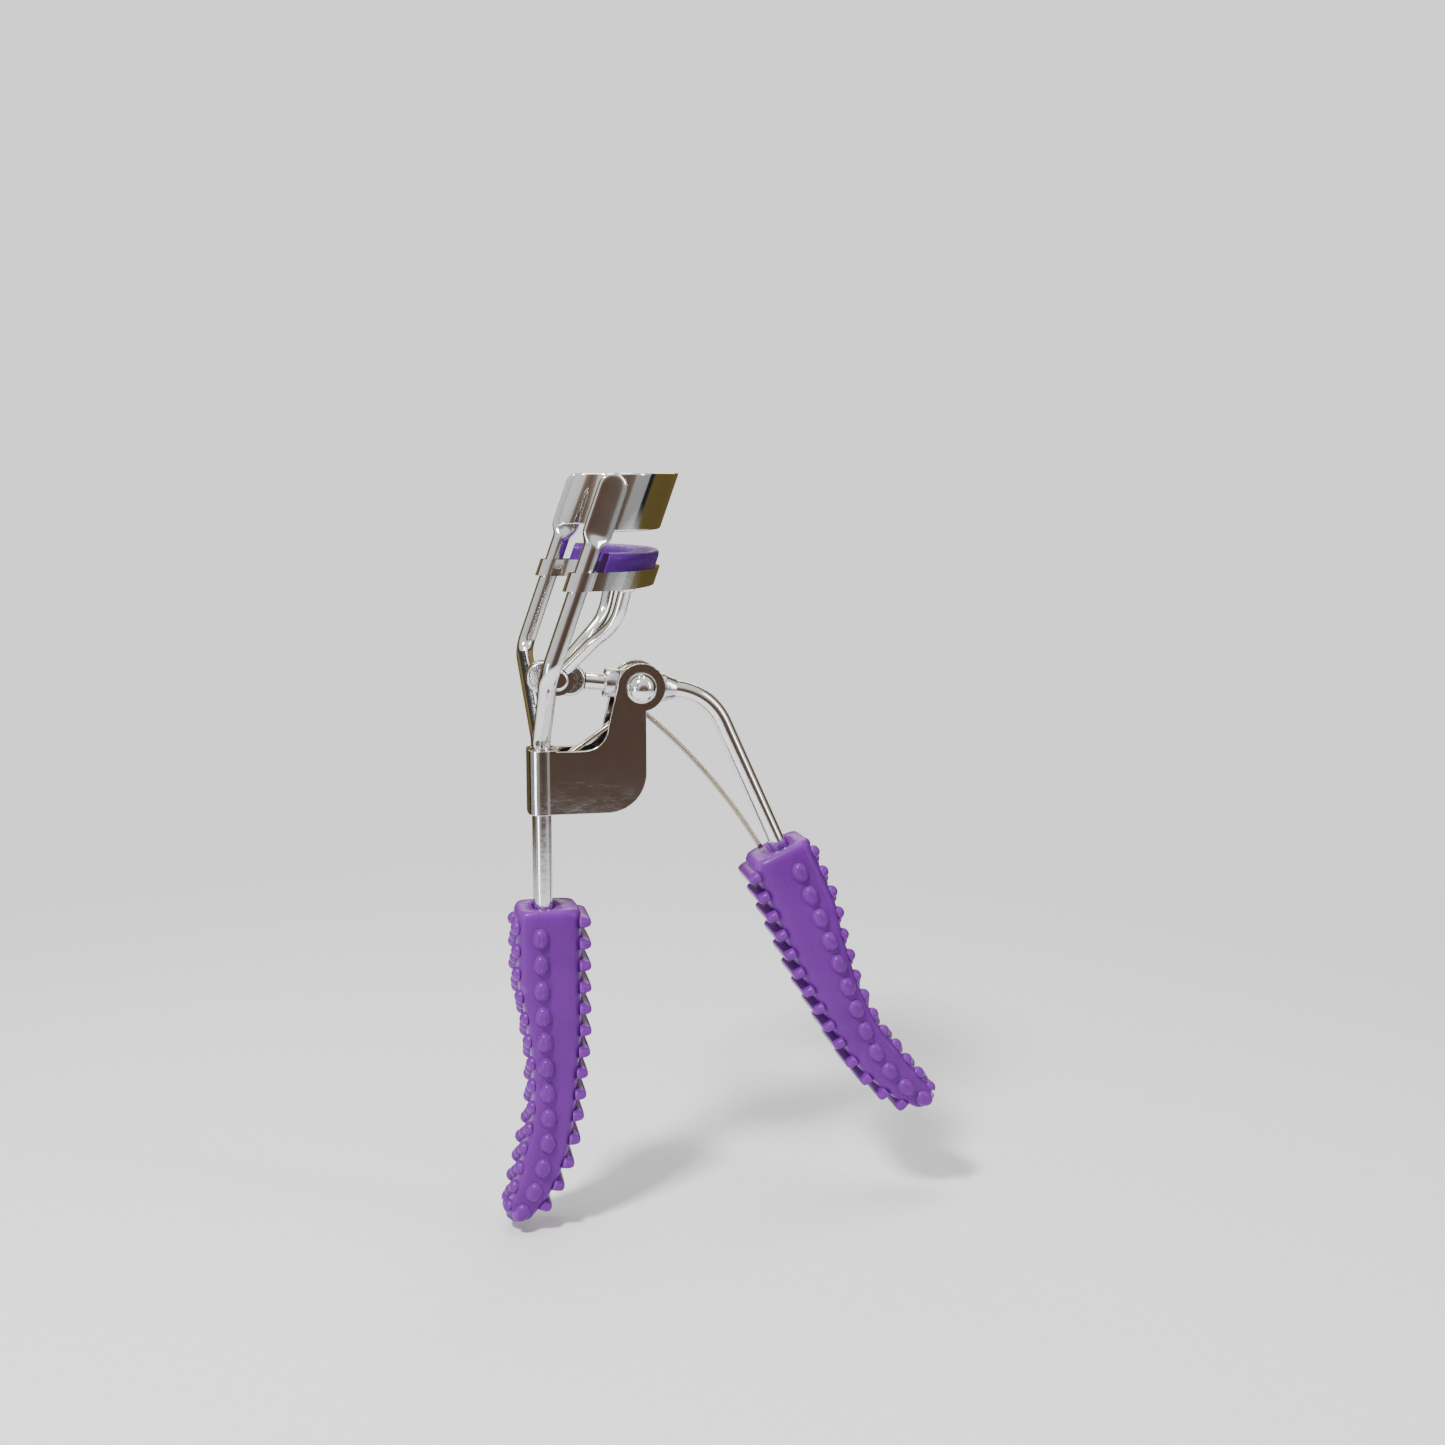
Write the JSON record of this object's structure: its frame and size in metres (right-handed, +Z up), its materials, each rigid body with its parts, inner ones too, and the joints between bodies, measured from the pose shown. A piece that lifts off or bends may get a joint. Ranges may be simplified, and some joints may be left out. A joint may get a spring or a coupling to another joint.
{
  "type": "eyelash curler",
  "caption": "Scissor-action eyelash curler: curved jaws on two wire rails, a crank and lever on a pivot, and soft ribbed grips.",
  "frame": {"origin": "on the shank axis in the mid plane, where the two frame wires enter the mouth of their grip", "axes": "+Z up the shank from the grip towards the jaws, +X from the frame handle towards the lever handle, Y across the jaws; the jaws are open in the rest pose"},
  "size_m": [0.0657, 0.041, 0.1079],
  "materials": {
    "steel_wire": "bright plated round wire",
    "jaw_chrome": "bright plated strip",
    "bracket_chrome": "bright plated folded sheet",
    "rivet_chrome": "polished domed heads",
    "hub_chrome": "plated, slightly rough as formed",
    "spring_steel": "plated spring wire",
    "grip_rubber": "glossy soft plastic, purple",
    "pad_rubber": "smooth silicone, deep purple"
  },
  "bodies": {
    "frame": {"rail_wire_front": "steel_wire", "rail_wire_back": "steel_wire", "upper_jaw": "jaw_chrome", "clamp_bracket": "bracket_chrome", "pivot_rivet": "rivet_chrome", "frame_grip": "grip_rubber"},
    "lever": {"lever_wire": "steel_wire", "pivot_hub": "hub_chrome", "crank_ferrule": "hub_chrome", "lever_ferrule": "hub_chrome", "crank_arm": "steel_wire", "crank_eye": "hub_chrome", "lever_grip": "grip_rubber", "return_spring": "spring_steel"},
    "lower_jaw": {"lower_jaw": "jaw_chrome", "lash_pad": "pad_rubber", "push_rod_front": "steel_wire", "push_rod_back": "steel_wire", "link_pin": "rivet_chrome"}
  },
  "joints": [
    {"name": "lever_hinge", "type": "hinge", "parent": "frame", "child": "lever", "pos_m": [0.0139, 0, 0.031], "axis": [0, 1, 0], "range_deg": [0, 13.65], "stiffness_Nm_per_rad": 0.25, "springref_deg": -20.05, "deforming": ["return_spring"]},
    {"name": "jaw_slide", "type": "slide", "parent": "frame", "child": "lower_jaw", "axis": [0.3338, 0, 0.9426], "range_m": [0, 0.00278]}
  ],
  "couplings": [
    {"joint": "lever_hinge", "follows": "jaw_slide", "rad_per_m": 85.692}
  ]
}
